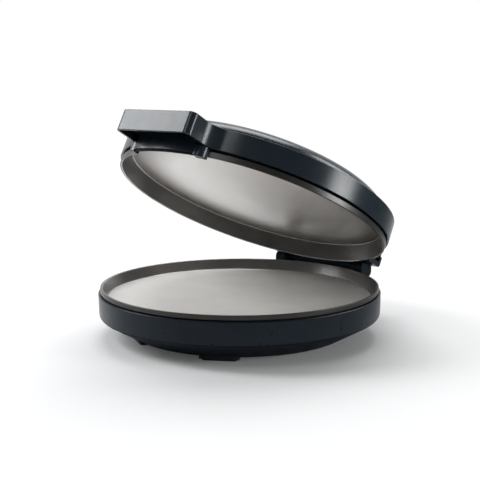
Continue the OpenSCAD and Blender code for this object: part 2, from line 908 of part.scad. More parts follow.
// Cheek of the hinge block beside an ear, seen along X.
module cheek_profile() {
    polygon(concat(
        [[arm_front, block_low + over]],
        arc([arm_front + arm_round, arm_low + arm_round], arm_round, 180, 270, 6),
        arc([block_reach - arm_round, arm_low + arm_round], arm_round, 270, 360, 6),
        [[block_reach, block_low + over]]));
}

module lid_ring() {
    color(casing_col)
    on_lid()
        difference() {
            union() {
                // skirt and the ledge round the dome
                translate([0, 0, skirt_z])
                    cylinder(r = body_r, h = skirt_h);
                translate([0, 0, skirt_z])
                    linear_extrude(skirt_h)
                        handle_outline(0);
                translate([0, 0, block_low])
                    linear_extrude(lid_top - block_low)
                        hinge_block_outline(0);
                for (s = [-1, 1])
                    along_x(s * (block_half - cheek_w / 2) - cheek_w / 2, s * (block_half - cheek_w / 2) + cheek_w / 2)
                        cheek_profile();
            }
            // inside of the skirt, with lugs for the plate left standing
            difference() {
                translate([0, 0, skirt_z - over])
                    cylinder(r = body_r - lid_wall, h = shelf_low - skirt_z + over);
                at_angles(lug_angles, lug_at)
                    translate([-lug_t * 2, -lug_w / 2, lug_z])
                        cube([lug_w + 2 * lug_t, lug_w, lug_t + over]);
            }
            translate([0, 0, shelf_low])
                cylinder(r = shelf_in, h = skirt_h);
            translate([0, 0, shelf_z])
                cylinder(r = dome_foot_r + seat_gap, h = skirt_h);
            // hollow of the handle and of the hinge block
            difference() {
                translate([0, 0, skirt_z - over])
                    linear_extrude(skirt_h + over - lid_wall)
                        handle_outline(lid_wall);
                translate([0, 0, skirt_z - 2 * over])
                    cylinder(r = body_r, h = skirt_h);
                for (p = handle_screw_at)
                    translate([p[0], p[1], cover_z + cover_t])
                        cylinder(r = handle_boss_r, h = skirt_h, $fn = 40);
            }
            difference() {
                translate([0, 0, block_low - over])
                    linear_extrude(lid_top - lid_wall - block_low + over)
                        hinge_block_outline(lid_wall);
                translate([0, 0, skirt_z - over])
                    cylinder(r = body_r, h = skirt_h + 2 * over);
                for (s = [-1, 1])
                    translate([s * (block_half - cheek_w / 2) - cheek_w / 2, arm_front, block_low - over])
                        cube([cheek_w, block_reach - arm_front, skirt_h]);
            }
            // holes
            at_angles(lug_angles, lug_at)
                translate([0, 0, lug_z - over])
                    cylinder(r = screw_r + screw_gap, h = lug_t + 2 * over, $fn = 40);
            for (p = handle_screw_at)
                translate([p[0], p[1], cover_z])
                    cylinder(r = small_screw_r + screw_gap / 2, h = handle_screw_grip + over, $fn = 32);
            for (s = [-1, 1])
                translate([s * lens_x, lens_y, lid_top - lid_wall - over])
                    linear_extrude(lid_wall + 2 * over)
                        slot(lens_l + 2 * seat_gap, lens_w + 2 * seat_gap);
            for (x = hinge_screw_x) {
                translate([x, block_reach + over, hinge_screw_z])
                    rotate([90, 0, 0])
                        cylinder(r = small_screw_r + screw_gap, h = 12, $fn = 32);
                translate([x, block_reach + over, hinge_screw_z])
                    rotate([90, 0, 0])
                        cylinder(r = small_head_r + seat_gap, h = small_head_h + over, $fn = 40);
            }
            for (p = [[0, -1], [duct_x, 1]])
                translate([p[0], p[1] * body_r, duct_z])
                    rotate([90, 0, 0])
                        cylinder(r = 3.2, h = 16, center = true, $fn = 32);
        }
}

// Points of the dome from its edge to the centre, moved in by d.
function dome_line(d) =
    let (r1 = dome_r - dome_run, z1 = lid_top + dome_h - d)
    concat(
        [for (i = [0:12]) let (a = 90 * i / 12)
            [r1 + (dome_run - d) * cos(a), lid_top + (dome_h - d) * sin(a)]],
        [for (i = [1:5]) let (t = 1 - i / 5) [r1 * t, z1 + dome_crown * (1 - t * t)]]);

hook_angles = [20, 70, 110, 160, 200, 250, 290, 340];
hook_w = 10;
hook_t = 1.6;
hook_barb = 1.3;
dome_foot_z = shelf_z + 0.1;
module lid_dome() {
    color(casing_col)
    on_lid() {
        outer = dome_line(0);
        inner = dome_line(dome_t);
        rotate_extrude()
            polygon(concat(
                [[dome_foot_r, dome_foot_z], [dome_foot_r, lid_top]],
                outer,
                [for (i = [len(inner) - 1:-1:0]) inner[i]],
                [[dome_r - dome_t, dome_foot_z]]));
        // snap hooks that reach through the ring
        at_angles(hook_angles, shelf_in - seat_gap)
            translate([0, hook_w / 2, 0])
                rotate([90, 0, 0])
                    linear_extrude(hook_w)
                        polygon([
                            [-hook_t, shelf_low - 2.4], [0, shelf_low - 2.4],
                            [hook_barb, shelf_low - seat_gap], [0, shelf_low - seat_gap],
                            [0, dome_foot_z], [2.6, dome_foot_z], [2.6, dome_foot_z + 2],
                            [-hook_t, dome_foot_z + 2]]);
    }
}

module handle_cover() {
    color(casing_col)
    on_lid()
        difference() {
            translate([0, 0, cover_z])
                linear_extrude(cover_t)
                    handle_outline(lid_wall + seat_gap);
            translate([0, 0, cover_z - over])
                cylinder(r = body_r + seat_gap, h = cover_t + 2 * over);
            for (p = handle_screw_at)
                translate([p[0], p[1], cover_z - over])
                    cylinder(r = small_screw_r + screw_gap, h = cover_t + 2 * over, $fn = 32);
        }
}

guard_in = 4;
guard_post_in = 6;
guard_lap = 1.6;
flange_t = 2.4;
flange_in = [20, 12];
guard_half = handle_half - guard_in;
guard_r = body_r + guard_out;
guard_under_r = body_r - guard_lap;
guard_post_x = handle_half - guard_post_in;
flange_r = handle_reach - flange_in[1];
flange_half = handle_half - flange_in[0];

module finger_guard() {
    color(casing_col)
    on_lid()
        difference() {
            union() {
                intersection() {
                    translate([0, 0, skirt_z - guard_drop])
                        cylinder(r = guard_r, h = cover_z - skirt_z + guard_drop);
                    translate([-guard_half, -handle_reach, skirt_z - guard_drop - over])
                        cube([2 * guard_half, handle_reach, skirt_h + guard_drop]);
                }
                translate([guard_post_x, -sqrt(pow(guard_under_r, 2) - pow(guard_post_x, 2)), skirt_z - post_drop])
                    cylinder(r = guard_post_r, h = post_drop - seat_gap, $fn = 64);
                translate([0, 0, cover_z - flange_t])
                    linear_extrude(flange_t)
                        intersection() {
                            circle(r = flange_r);
                            translate([-flange_half, -flange_r])
                                square([2 * flange_half, flange_r / 2]);
                        }
            }
            translate([0, 0, skirt_z - post_drop - over])
                cylinder(r = guard_under_r, h = post_drop + skirt_h);
            translate([0, 0, skirt_z - seat_gap])
                cylinder(r = body_r + seat_gap, h = skirt_h);
            for (i = [2, 3])
                translate([handle_screw_at[i][0], handle_screw_at[i][1], cover_z - flange_t - over])
                    cylinder(r = small_screw_r + screw_gap, h = flange_t + 2 * over, $fn = 32);
        }
}

module handle_screws() {
    color(steel_col)
    on_lid()
        for (i = [0:3]) {
            p = handle_screw_at[i];
            z = i < 2 ? cover_z : cover_z - flange_t;
            translate([p[0], p[1], z])
                screw(small_screw_r, small_head_r, small_head_h, cover_z + handle_screw_grip - z);
        }
}

module upper_plate() {
    color(plate_col)
    on_lid()
        difference() {
            union() {
                translate([0, 0, lid_rim_z])
                    mirror([0, 0, 1])
                        rotate_extrude()
                            polygon(plate_section(upper_depth, upper_lip));
                at_angles(lug_angles, lug_at)
                    translate([0, 0, upper_back_z - over])
                        cylinder(r = 6, h = lug_z - upper_back_z + over);
                translate([0, 0, upper_back_z - over])
                    cylinder(r = 6, h = upper_reflector_z - upper_back_z + over);
            }
            at_angles(lug_angles, lug_at)
                translate([0, 0, upper_back_z - 1.4])
                    cylinder(r = screw_r + screw_gap / 2, h = 10, $fn = 40);
            translate([0, 0, upper_back_z + 2])
                cylinder(r = screw_r + screw_gap / 2, h = 30, $fn = 40);
        }
}

upper_reflector_z = upper_back_z + 13;
upper_reflector_r = lug_at - 22;

module upper_heater() {
    color(zinc_col)
    on_lid()
        translate([0, 0, upper_back_z + plate_gap])
            mirror([0, 0, 1])
                heater_ring(heater_drop);
}

module upper_heater_clips() {
    color(steel_col)
    on_lid()
        at_angles(clip_angles, heater_r)
            translate([0, 0, upper_back_z])
                mirror([0, 0, 1])
                    heater_clip();
}

module upper_reflector() {
    color(steel_col)
    on_lid()
        translate([0, 0, upper_reflector_z + sheet_t])
            mirror([0, 0, 1])
                difference() {
                    reflector_pan(upper_reflector_r, 8);
                    sheet_holes();
                    translate([0, 0, -over])
                        cylinder(r = screw_r + screw_gap, h = 4, $fn = 40);
                }
}

insulation_r = upper_reflector_r - 6;
module lid_insulation() {
    color([0.86, 0.84, 0.76])
    on_lid()
        translate([0, 0, upper_reflector_z + sheet_t])
            difference() {
                cylinder(r = insulation_r, h = insulation_t);
                sheet_holes();
                translate([0, 0, -over])
                    cylinder(r = 9, h = insulation_t + 2 * over, $fn = 40);
            }
}

module upper_thermostat() {
    color(ceramic_col)
    on_lid()
        translate([thermostat_at, 0, upper_back_z + plate_gap])
            mirror([0, 0, 1])
                thermostat();
}

module upper_thermostat_bracket() {
    color(steel_col)
    on_lid()
        translate([thermostat_at, 0, upper_back_z])
            mirror([0, 0, 1])
                thermostat_bracket();
}

module lens(s, col) {
    color(col)
    on_lid()
        translate([s * lens_x, lens_y, 0]) {
            translate([0, 0, lid_top - lid_wall - 1])
                linear_extrude(1)
                    slot(lens_l + 3, lens_w + 3);
            translate([0, 0, lid_top - lid_wall - eps])
                linear_extrude(lid_wall + 0.4)
                    slot(lens_l, lens_w);
        }
}

module power_lens() { lens(-1, [0.8, 0.08, 0.05]); }
module ready_lens() { lens(1, [0.1, 0.6, 0.15]); }

lamp_r = 2.6;
lamp_l = 12;
module lamp(s) {
    color([0.95, 0.75, 0.55])
    on_lid()
        translate([s * lens_x - lamp_l / 2, lens_y, lamp_z])
            rotate([0, 90, 0])
                cylinder(r = lamp_r, h = lamp_l, $fn = 32);
}

module power_lamp() { lamp(-1); }
module ready_lamp() { lamp(1); }

lead_z = upper_back_z + plate_gap + heater_drop + terminal_l + wire_end;
tag_z = upper_back_z + plate_gap + thermostat_h + tag_l + wire_end;
run_z = upper_reflector_z + sheet_t + insulation_t + wire_r + 1.8;
duct_z = lid_top - 8;
lamp_z = lid_top - lid_wall - 1.2 - lamp_r;
lamp_end = lens_x - lamp_l / 2 - wire_end;
module lid_wiring() {
    on_lid() {
        color([0.05, 0.05, 0.05])
            wire([[-pin_mouth_x + 1.2, hinge_y, hinge_z], [-42, hinge_y, hinge_z],
                [duct_x - 5, hinge_y - 0.6, hinge_z + 1], [duct_x - 0.4, hinge_y - 1.8, hinge_z + 8],
                [duct_x, hinge_y - 2.6, duct_z - 4], [duct_x, body_r - 2, duct_z],
                [duct_x - 0.5, body_r - 13, duct_z + 0.4], [duct_x - 1, body_r - 22, duct_z + 2],
                [duct_x - 2.4, body_r - 33, run_z - 10], [duct_x - 4, body_r - 40, run_z],
                [-lead[0], lead[1] + 9, run_z + 1], [-lead[0], lead[1] + 1.5, run_z + 0.6],
                [-lead[0], lead[1], lead_z + 1.5], [-lead[0], lead[1], lead_z]], cable_r);
        color([0.9, 0.9, 0.88])
            wire([[lead[0], lead[1], lead_z], [lead[0], lead[1], lead_z + 1.5],
                [lead[0] + 1.5, lead[1] - 2, run_z + 0.6], [42, 88, run_z + 1.2], [58, 40, run_z + 1],
                [thermostat_at + 3, tag_y + 3, run_z - 2], [thermostat_at, tag_y, tag_z + 3],
                [thermostat_at, tag_y, tag_z]], wire_r);
        color([0.9, 0.9, 0.88])
            wire([[thermostat_at, -tag_y, tag_z], [thermostat_at, -tag_y, tag_z + 3],
                [thermostat_at + 2, -tag_y - 2, run_z - 2], [50, -40, run_z + 1], [26, -100, run_z + 1],
                [14, 44 - body_r, run_z - 1], [9, 32 - body_r, run_z - 10], [4, 22 - body_r, duct_z + 2],
                [1, 13 - body_r, duct_z + 0.2], [0, 4 - body_r, duct_z], [0, -4 - body_r, duct_z],
                [0, lens_y + 5, duct_z - 0.4], [lamp_end - 3, lens_y + 1.6, lamp_z],
                [lamp_end, lens_y + 1.2, lamp_z]], wire_r);
        color([0.75, 0.1, 0.08])
            wire([[-lamp_end, lens_y, lamp_z], [2 - lamp_end, lens_y, lamp_z], [-1, lens_y - 2.6, duct_z],
                [1.5, lens_y - 2.6, duct_z], [lamp_end - 1.5, lens_y - 1.6, lamp_z],
                [lamp_end, lens_y - 1.5, lamp_z]], wire_r * 0.7);
    }
}

module upper_plate_screws() {
    color(steel_col)
    on_lid()
        at_angles(lug_angles, lug_at)
            translate([0, 0, lug_z + lug_t])
                mirror([0, 0, 1])
                    screw(screw_r, screw_head_r, 2.4, lug_z + lug_t - upper_back_z + 1);
}

module reflector_screw() {
    color(steel_col)
    on_lid()
        translate([0, 0, upper_reflector_z + sheet_t])
            mirror([0, 0, 1])
                screw(screw_r, screw_head_r, 2.4, 9);
}

base_casing();
bottom_cover();
foot_front_left();
foot_front_right();
foot_rear_left();
foot_rear_right();
foot_pads();
lower_plate();
lower_heater();
lower_heater_clips();
lower_reflector();
lower_thermostat();
lower_thermostat_bracket();
thermal_fuse();
terminal_block();
base_wiring();
cord_gland();
cover_screws();
lower_plate_screws();
hinge_pin_left();
hinge_pin_right();
hinge_washers();
lid_ring();
lid_dome();
handle_cover();
finger_guard();
hinge_barrel();
upper_plate();
upper_heater();
upper_heater_clips();
upper_reflector();
lid_insulation();
upper_thermostat();
upper_thermostat_bracket();
power_lens();
ready_lens();
power_lamp();
ready_lamp();
lid_wiring();
upper_plate_screws();
reflector_screw();
handle_screws();
hinge_screws();
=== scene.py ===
import math

import bmesh
import bpy
from mathutils import Matrix, Vector


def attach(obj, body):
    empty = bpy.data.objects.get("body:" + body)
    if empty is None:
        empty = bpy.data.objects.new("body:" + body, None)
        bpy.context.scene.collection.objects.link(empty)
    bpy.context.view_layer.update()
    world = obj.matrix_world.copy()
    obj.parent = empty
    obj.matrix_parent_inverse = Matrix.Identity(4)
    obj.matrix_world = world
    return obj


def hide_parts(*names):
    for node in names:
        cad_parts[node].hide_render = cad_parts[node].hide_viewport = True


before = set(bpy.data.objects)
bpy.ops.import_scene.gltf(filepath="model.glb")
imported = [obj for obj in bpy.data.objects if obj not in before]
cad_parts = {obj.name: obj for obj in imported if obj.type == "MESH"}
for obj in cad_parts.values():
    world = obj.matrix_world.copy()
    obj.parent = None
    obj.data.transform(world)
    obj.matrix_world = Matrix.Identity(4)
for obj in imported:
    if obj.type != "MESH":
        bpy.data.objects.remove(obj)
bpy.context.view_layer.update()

# ---------- sizes in millimetres, as in the part's source, with the scene's own roundings ----------

BODY_R = 170.0
SHELL_R = BODY_R - 0.02
BASE_TOP = 54.0
UNDERSIDE = 5.0
WALL_FOOT = 27.0
BELLY = math.radians(29.5)
WALL_DRAFT = 0.6
BELLY_FILLET = 5.0
BELLY_FOOT_FILLET = 2.0
BASE_WALL = 2.6
BASE_FLOOR_T = 2.5
BASE_FLOOR_IN = 1.0
INNER_FOOT_RISE = 1.7
BELLY_FOOT_R = BODY_R - WALL_DRAFT - (WALL_FOOT - UNDERSIDE) / math.tan(BELLY)
COVER_R = BELLY_FOOT_R - 24.5
COVER_T = 2.2
COVER_GAP = 0.3
LAP_IN = 8.0
LAP_OUT = 6.0
LEDGE_IN = 4.4
LEDGE_T = 2.5

RIM_R = BODY_R - 2.5
RIM_LAND = 2.2
FLOOR_R = RIM_R - 8.0
FLOOR_RING_R = FLOOR_R - 12.0
FOOT_R = FLOOR_R - 0.35
MOUTH_R = RIM_R - RIM_LAND - 0.25
FLOOR_T = 3.0
PLATE_FOOT_FILLET = 1.0
MOUTH_FILLET = 0.9
RIM_EDGE = 0.5
LIP_LAND = 0.5
LIP_EDGE = 0.2
PLATE_BACK_OUT = 2.6
PLATE_BACK_IN = 0.8
RIM_Z = BASE_TOP + 6.7
LOWER_DEPTH = 13.0
UPPER_DEPTH = 20.7
LOWER_LIP = 5.2
UPPER_LIP = 6.6
LID_RIM_Z = RIM_Z + 0.5

POST_AT = FLOOR_R - 39.5
POST_ANGLES = (0, 90, 180, 270)
POCKET_R = 4.5
POCKET_LOW = 3.0
POCKET_TOP = 9.4

SKIRT_Z = LID_RIM_Z + 8.9
LID_TOP = SKIRT_Z + 24.9
LID_WALL = 2.6
LID_EDGE = 0.8
LID_EDGE_RUN = 3.0
SKIRT_INNER_EDGE = 0.3
SKIRT_OUTER_EDGE = 0.45
COVER_Z = SKIRT_Z + 9.0
DOME_R = BODY_R - 12.0
DOME_RUN = 34.0
DOME_H = 20.5
DOME_CROWN = 2.0
DOME_FOOT_R = DOME_R + 0.7
SEAT_R = DOME_FOOT_R + 0.3
SHELF_R = DOME_R - 3.7
SHELF_Z = LID_TOP - 2.6
SHELF_T = 2.4

HANDLE_HALF = 54.0
HANDLE_SWELL = 0.9
HANDLE_REACH = SHELL_R + 29.0
HANDLE_CORNER = 7.2
HANDLE_BLEND = 24.0
GUARD_HALF = 44.2
GUARD_REACH = BODY_R + 6.0
GUARD_PLAN_R = 200.0
GUARD_T = 2.0
GUARD_UNDER_R = BODY_R - 1.6
GUARD_DROP = 10.4
GUARD_TOP = COVER_Z - 0.1
GUARD_EDGE = 0.6
# Sizes of the dark strip behind the guard's lower edge, a sheet of painted shade.
GUARD_LIP = 2.2
GUARD_LIP_T = 1.2
GUARD_LIP_EDGE = 0.3
GUARD_LIP_SUNK = 0.3
GUARD_LIP_TOP = SKIRT_Z - 2.0
POST_DROP = 13.0
POST_IN = GUARD_HALF + 0.6
POST_OUT = HANDLE_HALF + 2.0
POST_CORNER = 8.6
POST_EDGE = 0.8
POST_TOP = SKIRT_Z - 0.3

HINGE_Y = BODY_R + 7.0
HINGE_Z = RIM_Z + 1.8
EAR_IN = 56.0
EAR_W = 14.5
EAR_TOP = HINGE_Z + 7.8
EAR_BACK = HINGE_Y + 6.4
EAR_FRONT = HINGE_Y - 17.0
EAR_LOW = HINGE_Z - 12.5
EAR_ROOT = HINGE_Z - 20.5
EAR_SEAT = BASE_TOP - 0.3
EAR_FRONT_ROUND = 6.5
EAR_BACK_ROUND = 4.8
EAR_HEEL_ROUND = 7.0
EAR_HEEL_TURN = -74
CHEEK_W = 9.8
BLOCK_HALF = EAR_IN + EAR_W + 0.7 + CHEEK_W
BLOCK_REACH = HINGE_Y + 8.0
BLOCK_CORNER = 6.0
BLOCK_BLEND = 9.0
BLOCK_LOW = HINGE_Z + 9.5
CHEEK_LOW = HINGE_Z + 3.5
CHEEK_TOP = BLOCK_LOW + 8.0
CHEEK_FRONT = HINGE_Y - 19.0
CHEEK_ROUND = 4.0

LID_OPEN = math.radians(29.0)
COS, SIN = math.cos(LID_OPEN), math.sin(LID_OPEN)
OUTLINE_BACK = HINGE_Y + (BLOCK_REACH - HINGE_Y) * COS + (LID_TOP - HINGE_Z) * SIN
MIDDLE_Y = (OUTLINE_BACK - BODY_R) / 2

EDGE = 0.7
CASING_EDGE = 1.1
FINE_EDGE = 0.35
TURNED_STEPS = 360
SHARP_ANGLE = math.radians(38.0)
MERGE_M = 1e-6


def on_base(p):
    """A point of the base in millimetres, in the row's frame in metres."""
    return Vector((p[0], p[1] - MIDDLE_Y, p[2])) / 1000


def on_lid(p):
    """A point of the shut lid in millimetres, opened about the hinge, in the row's frame in metres."""
    y, z = p[1] - HINGE_Y, p[2] - HINGE_Z
    return Vector((p[0], HINGE_Y - MIDDLE_Y + y * COS + z * SIN, HINGE_Z - y * SIN + z * COS)) / 1000


def add_object(name, data):
    obj = bpy.data.objects.new(name, data)
    bpy.context.scene.collection.objects.link(obj)
    return obj


# ---------- camera, as in the photograph ----------

CAMERA_AT = on_base((769.8, -906.3, 308.8))
CAMERA_RIGHT = Vector((0.76288, 0.64653, -0.00303))
CAMERA_BACK = Vector((0.63837, -0.75251, 0.16191))
camera_data = bpy.data.cameras.new("camera")
camera_data.lens = 75.0
camera_data.sensor_width = 36.0
camera_data.clip_end = 50.0
camera = add_object("camera", camera_data)
back = CAMERA_BACK.normalized()
right = (CAMERA_RIGHT - CAMERA_RIGHT.dot(back) * back).normalized()
up = back.cross(right)
camera.matrix_world = Matrix((
    (right.x, up.x, back.x, CAMERA_AT.x),
    (right.y, up.y, back.y, CAMERA_AT.y),
    (right.z, up.z, back.z, CAMERA_AT.z),
    (0, 0, 0, 1)))
bpy.context.scene.camera = camera
bpy.context.scene.view_settings.view_transform = "Standard"


# ---------- node trees ----------

def math_node(tree, operation, *values):
    """A Math node on numbers and other nodes' outputs."""
    node = tree.nodes.new("ShaderNodeMath")
    node.operation = operation
    for socket, value in zip(node.inputs, values):
        if isinstance(value, float):
            socket.default_value = value
        else:
            tree.links.new(value, socket)
    return node.outputs["Value"]


def vector_node(tree, operation, vector, constant=None, output="Value"):
    """A Vector Math node on another node's output and, if need be, a constant vector."""
    node = tree.nodes.new("ShaderNodeVectorMath")
    node.operation = operation
    tree.links.new(vector, node.inputs[0])
    if constant is not None:
        node.inputs[1].default_value = constant
    return node.outputs[output]


def map_range(tree, value, span_in, span_out=(0.0, 1.0), smooth=True):
    """Maps one span of a value onto another, with eased ends unless smooth is False."""
    node = tree.nodes.new("ShaderNodeMapRange")
    if smooth:
        node.interpolation_type = "SMOOTHSTEP"
    for key, number in zip(("From Min", "From Max", "To Min", "To Max"), (*span_in, *span_out)):
        node.inputs[key].default_value = number
    tree.links.new(value, node.inputs["Value"])
    return node.outputs["Result"]


class Nodes:
    """A material under construction, with short calls for the nodes used here."""

    def __init__(self, name):
        self.mat = bpy.data.materials.new(name)
        self.mat.use_nodes = True
        self.tree = self.mat.node_tree
        self.shader = self.tree.nodes["Principled BSDF"]
        self.object = self.tree.nodes.new("ShaderNodeTexCoord").outputs["Object"]

    def set(self, **values):
        for key, value in values.items():
            self.shader.inputs[key.replace("_", " ")].default_value = value

    def link(self, value, key):
        self.tree.links.new(value, self.shader.inputs[key])

    def noise(self, scale, detail=3.0, rough=0.55, stretch=None):
        node = self.tree.nodes.new("ShaderNodeTexNoise")
        node.inputs["Scale"].default_value = scale
        node.inputs["Detail"].default_value = detail
        node.inputs["Roughness"].default_value = rough
        source = self.object
        if stretch:
            mapping = self.tree.nodes.new("ShaderNodeMapping")
            mapping.inputs["Scale"].default_value = stretch
            self.tree.links.new(source, mapping.inputs["Vector"])
            source = mapping.outputs["Vector"]
        self.tree.links.new(source, node.inputs["Vector"])
        return node.outputs["Fac"]

    def cells(self, scale):
        node = self.tree.nodes.new("ShaderNodeTexVoronoi")
        node.inputs["Scale"].default_value = scale
        self.tree.links.new(self.object, node.inputs["Vector"])
        return node.outputs["Distance"]

    def roughness(self, value, rough):
        """Spreads the roughness over a span, from a noise's usual range."""
        self.link(map_range(self.tree, value, (0.3, 0.7), rough, smooth=False), "Roughness")

    def ramp(self, value, *stops):
        node = self.tree.nodes.new("ShaderNodeValToRGB")
        for element, (at, colour) in zip(node.color_ramp.elements, stops):
            element.position = at
            element.color = (*colour, 1)
        self.tree.links.new(value, node.inputs["Fac"])
        return node.outputs["Color"]

    def product(self, colour, factor, tinting):
        """Multiplies a colour by another one, as far as the factor says. Either may be a constant."""
        mix = self.tree.nodes.new("ShaderNodeMix")
        mix.data_type = "RGBA"
        mix.blend_type = "MULTIPLY"
        for key, value in (("A", colour), ("Factor", factor), ("B", tinting)):
            if isinstance(value, (float, tuple)):
                mix.inputs[key].default_value = value
            else:
                self.tree.links.new(value, mix.inputs[key])
        return mix.outputs["Result"]

    def bump(self, height, strength, distance):
        node = self.tree.nodes.new("ShaderNodeBump")
        node.inputs["Strength"].default_value = strength
        node.inputs["Distance"].default_value = distance
        self.tree.links.new(height, node.inputs["Height"])
        if self.shader.inputs["Normal"].is_linked:
            self.tree.links.new(self.shader.inputs["Normal"].links[0].from_socket, node.inputs["Normal"])
        self.tree.links.new(node.outputs["Normal"], self.shader.inputs["Normal"])


# ---------- materials ----------

GRAIN_SCALE = 900.0
FLECK_TONE = (0.72, 0.72, 0.72)
WHITE = (1.0, 1.0, 1.0)
# Width and colour of a ring of painted shade along the foot of the upper floor's wall.
PAINTED_SHADE_W = 62.0
PAINTED_SHADE = (0.36, 0.34, 0.32)


def tint(colour, factor):
    return tuple(min(1.0, c * factor) for c in colour)


def moulded(name, colour, rough, grain=0.02, shine=0.35):
    """Satin moulded plastic: faint flow marks, fine grain, a little uneven gloss."""
    n = Nodes(name)
    n.set(Specular_IOR_Level=shine)
    flow = n.noise(28.0, 4.0, 0.6, (1.0, 1.0, 2.5))
    n.link(n.ramp(flow, (0.25, tint(colour, 0.85)), (0.75, tint(colour, 1.2))), "Base Color")
    n.roughness(n.noise(60.0, 6.0, 0.65), rough)
    n.bump(n.noise(1800.0, 2.0), grain, 0.00002)
    n.bump(n.noise(9.0, 1.0), 0.03, 0.0004)
    return n.mat


def coated_plate(name, colour, metallic, rough, relief=1.0, fleck=0.35, cloud=0.11, painted_shade_from=None):
    """Satin non-stick coating on cast aluminium: flecks in the coating, faint patches, an uneven sheen.
    A floor with painted_shade_from, its middle, is darker along the foot of its wall: painted shade,
    standing in for the shade and dark reflection there."""
    n = Nodes(name)
    n.set(Metallic=metallic)
    patches = n.noise(22.0, 5.0, 0.6)
    body = n.ramp(patches, (0.25, tint(colour, 1.0 - cloud)), (0.75, tint(colour, 1.0 + cloud)))
    finish = n.product(body, fleck, n.ramp(n.cells(1500.0), (0.1, FLECK_TONE), (0.5, WHITE)))
    if painted_shade_from is not None:
        # Painted shade: the floor's colour darkens towards the foot of its wall.
        away = vector_node(n.tree, "DISTANCE", n.object, painted_shade_from)
        painted_shade_mask = map_range(n.tree, away, ((FOOT_R - PAINTED_SHADE_W) / 1000, FOOT_R / 1000))
        finish = n.product(finish, painted_shade_mask, (*PAINTED_SHADE, 1))
    n.link(finish, "Base Color")
    n.roughness(n.noise(45.0, 5.0, 0.6), rough)
    n.bump(n.noise(1700.0, 3.0), 0.10 * relief, 0.00005)
    n.bump(n.cells(900.0), 0.06 * relief, 0.00004)
    return n.mat


def metal(name, colour, rough, stretch=(1, 1, 1)):
    """Bare metal with a drawn or rolled grain and dull patches."""
    n = Nodes(name)
    n.set(Metallic=1.0)
    n.link(n.ramp(n.noise(40.0, 5.0), (0.2, tint(colour, 0.82)), (0.8, tint(colour, 1.08))), "Base Color")
    n.roughness(n.noise(GRAIN_SCALE, 3.0, 0.6, stretch), rough)
    n.bump(n.noise(GRAIN_SCALE, 2.0, 0.5, stretch), 0.12, 0.00003)
    return n.mat


def matt(name, colour, rough, scale, strength, distance):
    """Rubber, ceramic, wire cover or felted fibre, by its grain."""
    n = Nodes(name)
    patches = n.noise(scale / 6, 5.0)
    n.link(n.ramp(patches, (0.2, tint(colour, 0.85)), (0.8, tint(colour, 1.12))), "Base Color")
    n.roughness(n.noise(scale / 2, 3.0), rough)
    n.bump(n.noise(scale, 3.0), strength, distance)
    return n.mat


def clear_lens(name, colour):
    """Tinted lamp cover with a fine moulded ripple."""
    n = Nodes(name)
    n.set(Transmission_Weight=0.35, IOR=1.49)
    n.link(n.ramp(n.noise(300.0, 3.0), (0.2, tint(colour, 0.8)), (0.8, tint(colour, 1.1))), "Base Color")
    n.roughness(n.noise(120.0, 4.0), (0.06, 0.14))
    n.bump(n.cells(1400.0), 0.25, 0.00008)
    return n.mat


LOWER_FLOOR = coated_plate("lower_floor", (0.76, 0.74, 0.715), 0.15, (0.42, 0.48),
                           relief=0.5, fleck=0.10, cloud=0.06)
# The upper floor carries a ring of painted shade along the foot of its wall.
UPPER_FLOOR = coated_plate("upper_floor", (0.87, 0.845, 0.82), 0.72, (0.33, 0.36),
                           relief=0.15, fleck=0.06, cloud=0.03,
                           painted_shade_from=on_lid((0.0, 0.0, LID_RIM_Z + UPPER_DEPTH)))
PLATE_WALL = coated_plate("plate_wall", (0.25, 0.243, 0.235), 0.85, (0.28, 0.36), relief=0.3, fleck=0.20)
PLATE_EDGE = coated_plate("plate_edge", (0.55, 0.54, 0.52), 0.95, (0.22, 0.28), relief=0.3, fleck=0.20)
# A darker, grainier and less glossy copy of the casing plastic: a rougher matt finish, with painted shade in
# its darker colour. It covers the casing's downward faces and the strip behind the guard.
PAINTED_SHADE_MATT = moulded("underside", (0.0070, 0.0110, 0.0170), (0.50, 0.58), grain=0.15, shine=0.05)

MATERIALS = {
    "casing": moulded("casing", (0.0090, 0.0155, 0.0235), (0.26, 0.32), shine=0.17),
    "lid": moulded("lid", (0.0190, 0.0290, 0.0385), (0.22, 0.28)),
    "dome": moulded("dome", (0.0165, 0.0255, 0.0345), (0.22, 0.28)),
    "foot": moulded("foot", (0.010, 0.012, 0.014), (0.34, 0.44), grain=0.08),
    "pad": matt("pad", (0.016, 0.016, 0.017), (0.62, 0.78), 1500.0, 0.30, 0.00010),
    "plate": coated_plate("plate", (0.052, 0.050, 0.048), 0.40, (0.28, 0.36)),
    "heater": metal("heater", (0.30, 0.30, 0.31), (0.34, 0.50)),
    "sheet": metal("sheet", (0.62, 0.63, 0.64), (0.26, 0.42), (1, 12, 1)),
    "reflector": metal("reflector", (0.80, 0.81, 0.82), (0.16, 0.28), (1, 14, 1)),
    "ceramic": matt("ceramic", (0.74, 0.71, 0.64), (0.22, 0.36), 1200.0, 0.08, 0.00004),
    "wire": matt("wire", (0.50, 0.06, 0.05), (0.34, 0.48), 1800.0, 0.12, 0.00004),
    "screw": metal("screw", (0.66, 0.66, 0.66), (0.22, 0.36), (1, 1, 8)),
    "black_screw": metal("black_screw", (0.030, 0.031, 0.033), (0.30, 0.42), (1, 1, 8)),
    "pin": metal("pin", (0.58, 0.58, 0.59), (0.16, 0.28), (16, 1, 1)),
    "insulation": matt("insulation", (0.66, 0.63, 0.54), (0.85, 0.98), 500.0, 0.60, 0.00060),
    "lens_red": clear_lens("lens_red", (0.46, 0.012, 0.008)),
    "lens_green": clear_lens("lens_green", (0.02, 0.26, 0.04)),
    "lamp": clear_lens("lamp", (0.85, 0.62, 0.42)),
}

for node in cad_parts.values():
    for material_slot in node.material_slots:
        material_slot.material = MATERIALS[material_slot.name.split(".")[0]]


# ---------- mesh tools ----------

